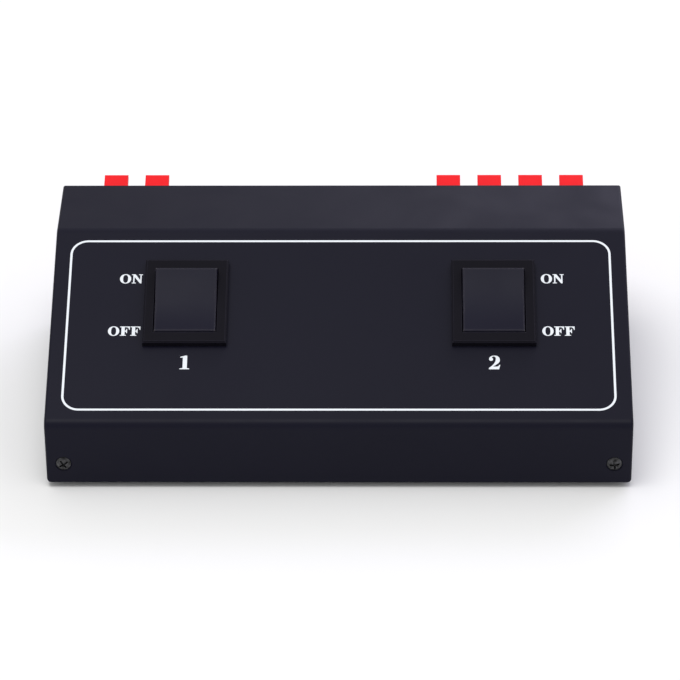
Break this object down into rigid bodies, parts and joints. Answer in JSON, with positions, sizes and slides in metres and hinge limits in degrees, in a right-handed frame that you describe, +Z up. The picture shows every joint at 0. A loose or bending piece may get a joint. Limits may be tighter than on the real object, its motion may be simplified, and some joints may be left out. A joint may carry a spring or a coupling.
{
  "type": "speaker selector switch",
  "caption": "Sloped black metal box with rocker switches on its panel and spring-clip wire terminals at the rear, which switches pairs of loudspeakers on and off.",
  "frame": {"origin": "on the surface the feet stand on, under the middle of the whole box with its levers", "axes": "+X to the right seen from the front, +Y to the rear, where the wire terminals are, +Z up"},
  "size_m": [0.176, 0.107, 0.049],
  "materials": {
    "case_paint": "satin black enamel with a very fine texture",
    "switch_plastic": "moulded black nylon, satin",
    "rocker_plastic": "moulded charcoal plastic, fine spark texture",
    "plunger_plastic": "natural acetal",
    "spring_steel": "drawn bright",
    "contact_brass": "tinned and plain brass strip",
    "terminal_plastic": "moulded black, semi-gloss",
    "fibre_board": "brown paper laminate",
    "red_lever": "moulded bright red, semi-gloss",
    "black_lever": "moulded black, semi-gloss",
    "rubber": "moulded black rubber",
    "black_screw": "black zinc plated",
    "red_wire": "extruded insulation",
    "black_wire": "extruded insulation",
    "white_print": "screen-printed white ink"
  },
  "bodies": {
    "case": {"base_tray": "case_paint", "block_screws": "black_screw", "case_screws": "black_screw", "cover_shell": "case_paint", "input_back_boards": "fibre_board", "input_block": "terminal_plastic", "input_contact_strips": "contact_brass", "input_leads": "red_wire", "input_left_black_spring": "spring_steel", "input_left_red_spring": "spring_steel", "input_right_black_spring": "spring_steel", "input_right_red_spring": "spring_steel", "output_1_leads": "red_wire", "output_1_left_black_spring": "spring_steel", "output_1_left_red_spring": "spring_steel", "output_1_right_black_spring": "spring_steel", "output_1_right_red_spring": "spring_steel", "output_2_leads": "red_wire", "output_2_left_black_spring": "spring_steel", "output_2_left_red_spring": "spring_steel", "output_2_right_black_spring": "spring_steel", "output_2_right_red_spring": "spring_steel", "output_back_boards": "fibre_board", "output_block": "terminal_plastic", "output_contact_strips": "contact_brass", "return_leads": "black_wire", "rubber_feet": "rubber", "switch_1_housing": "switch_plastic", "switch_1_tabs": "contact_brass", "switch_2_housing": "switch_plastic", "switch_2_tabs": "contact_brass"},
    "input_left_black_lever": {"input_left_black_lever": "black_lever"},
    "input_left_red_lever": {"input_left_red_lever": "red_lever"},
    "input_right_black_lever": {"input_right_black_lever": "black_lever"},
    "input_right_red_lever": {"input_right_red_lever": "red_lever"},
    "output_1_left_black_lever": {"output_1_left_black_lever": "black_lever"},
    "output_1_left_red_lever": {"output_1_left_red_lever": "red_lever"},
    "output_1_right_black_lever": {"output_1_right_black_lever": "black_lever"},
    "output_1_right_red_lever": {"output_1_right_red_lever": "red_lever"},
    "output_2_left_black_lever": {"output_2_left_black_lever": "black_lever"},
    "output_2_left_red_lever": {"output_2_left_red_lever": "red_lever"},
    "output_2_right_black_lever": {"output_2_right_black_lever": "black_lever"},
    "output_2_right_red_lever": {"output_2_right_red_lever": "red_lever"},
    "switch_1_contacts": {"switch_1_moving_contacts": "contact_brass"},
    "switch_1_rocker": {"switch_1_plunger_springs": "spring_steel", "switch_1_plungers": "plunger_plastic", "switch_1_rocker": "rocker_plastic"},
    "switch_2_contacts": {"switch_2_moving_contacts": "contact_brass"},
    "switch_2_rocker": {"switch_2_plunger_springs": "spring_steel", "switch_2_plungers": "plunger_plastic", "switch_2_rocker": "rocker_plastic"}
  },
  "joints": [
    {"name": "switch_1_rock", "type": "hinge", "parent": "case", "child": "switch_1_rocker", "pos_m": [-0.0469, -0.01036, 0.03684], "axis": [-1, 0, 0], "range_deg": [0, 16]},
    {"name": "switch_1_contact_tilt", "type": "hinge", "parent": "case", "child": "switch_1_contacts", "pos_m": [-0.0469, -0.00694, 0.02776], "axis": [1, 0, 0], "range_deg": [0, 10]},
    {"name": "switch_2_rock", "type": "hinge", "parent": "case", "child": "switch_2_rocker", "pos_m": [0.0469, -0.01036, 0.03684], "axis": [-1, 0, 0], "range_deg": [0, 16]},
    {"name": "switch_2_contact_tilt", "type": "hinge", "parent": "case", "child": "switch_2_contacts", "pos_m": [0.0469, -0.00694, 0.02776], "axis": [1, 0, 0], "range_deg": [0, 10]},
    {"name": "input_right_red_press", "type": "hinge", "parent": "case", "child": "input_right_red_lever", "pos_m": [-0.0718, 0.03898, 0.0414], "axis": [-1, 0, 0], "range_deg": [0, 20], "stiffness_Nm_per_rad": 0.05, "springref_deg": -14.32, "deforming": ["input_right_red_spring"]},
    {"name": "input_right_black_press", "type": "hinge", "parent": "case", "child": "input_right_black_lever", "pos_m": [-0.0718, 0.03898, 0.0254], "axis": [-1, 0, 0], "range_deg": [0, 20], "stiffness_Nm_per_rad": 0.05, "springref_deg": -14.32, "deforming": ["input_right_black_spring"]},
    {"name": "input_left_red_press", "type": "hinge", "parent": "case", "child": "input_left_red_lever", "pos_m": [-0.0588, 0.03898, 0.0414], "axis": [-1, 0, 0], "range_deg": [0, 20], "stiffness_Nm_per_rad": 0.05, "springref_deg": -14.32, "deforming": ["input_left_red_spring"]},
    {"name": "input_left_black_press", "type": "hinge", "parent": "case", "child": "input_left_black_lever", "pos_m": [-0.0588, 0.03898, 0.0254], "axis": [-1, 0, 0], "range_deg": [0, 20], "stiffness_Nm_per_rad": 0.05, "springref_deg": -14.32, "deforming": ["input_left_black_spring"]},
    {"name": "output_1_right_red_press", "type": "hinge", "parent": "case", "child": "output_1_right_red_lever", "pos_m": [0.0338, 0.03898, 0.0414], "axis": [-1, 0, 0], "range_deg": [0, 20], "stiffness_Nm_per_rad": 0.05, "springref_deg": -14.32, "deforming": ["output_1_right_red_spring"]},
    {"name": "output_1_right_black_press", "type": "hinge", "parent": "case", "child": "output_1_right_black_lever", "pos_m": [0.0338, 0.03898, 0.0254], "axis": [-1, 0, 0], "range_deg": [0, 20], "stiffness_Nm_per_rad": 0.05, "springref_deg": -14.32, "deforming": ["output_1_right_black_spring"]},
    {"name": "output_1_left_red_press", "type": "hinge", "parent": "case", "child": "output_1_left_red_lever", "pos_m": [0.0468, 0.03898, 0.0414], "axis": [-1, 0, 0], "range_deg": [0, 20], "stiffness_Nm_per_rad": 0.05, "springref_deg": -14.32, "deforming": ["output_1_left_red_spring"]},
    {"name": "output_1_left_black_press", "type": "hinge", "parent": "case", "child": "output_1_left_black_lever", "pos_m": [0.0468, 0.03898, 0.0254], "axis": [-1, 0, 0], "range_deg": [0, 20], "stiffness_Nm_per_rad": 0.05, "springref_deg": -14.32, "deforming": ["output_1_left_black_spring"]},
    {"name": "output_2_right_red_press", "type": "hinge", "parent": "case", "child": "output_2_right_red_lever", "pos_m": [0.0598, 0.03898, 0.0414], "axis": [-1, 0, 0], "range_deg": [0, 20], "stiffness_Nm_per_rad": 0.05, "springref_deg": -14.32, "deforming": ["output_2_right_red_spring"]},
    {"name": "output_2_right_black_press", "type": "hinge", "parent": "case", "child": "output_2_right_black_lever", "pos_m": [0.0598, 0.03898, 0.0254], "axis": [-1, 0, 0], "range_deg": [0, 20], "stiffness_Nm_per_rad": 0.05, "springref_deg": -14.32, "deforming": ["output_2_right_black_spring"]},
    {"name": "output_2_left_red_press", "type": "hinge", "parent": "case", "child": "output_2_left_red_lever", "pos_m": [0.0728, 0.03898, 0.0414], "axis": [-1, 0, 0], "range_deg": [0, 20], "stiffness_Nm_per_rad": 0.05, "springref_deg": -14.32, "deforming": ["output_2_left_red_spring"]},
    {"name": "output_2_left_black_press", "type": "hinge", "parent": "case", "child": "output_2_left_black_lever", "pos_m": [0.0728, 0.03898, 0.0254], "axis": [-1, 0, 0], "range_deg": [0, 20], "stiffness_Nm_per_rad": 0.05, "springref_deg": -14.32, "deforming": ["output_2_left_black_spring"]}
  ],
  "couplings": [
    {"joint": "switch_1_contact_tilt", "follows": "switch_1_rock", "ratio": 0.625},
    {"joint": "switch_2_contact_tilt", "follows": "switch_2_rock", "ratio": 0.625}
  ]
}
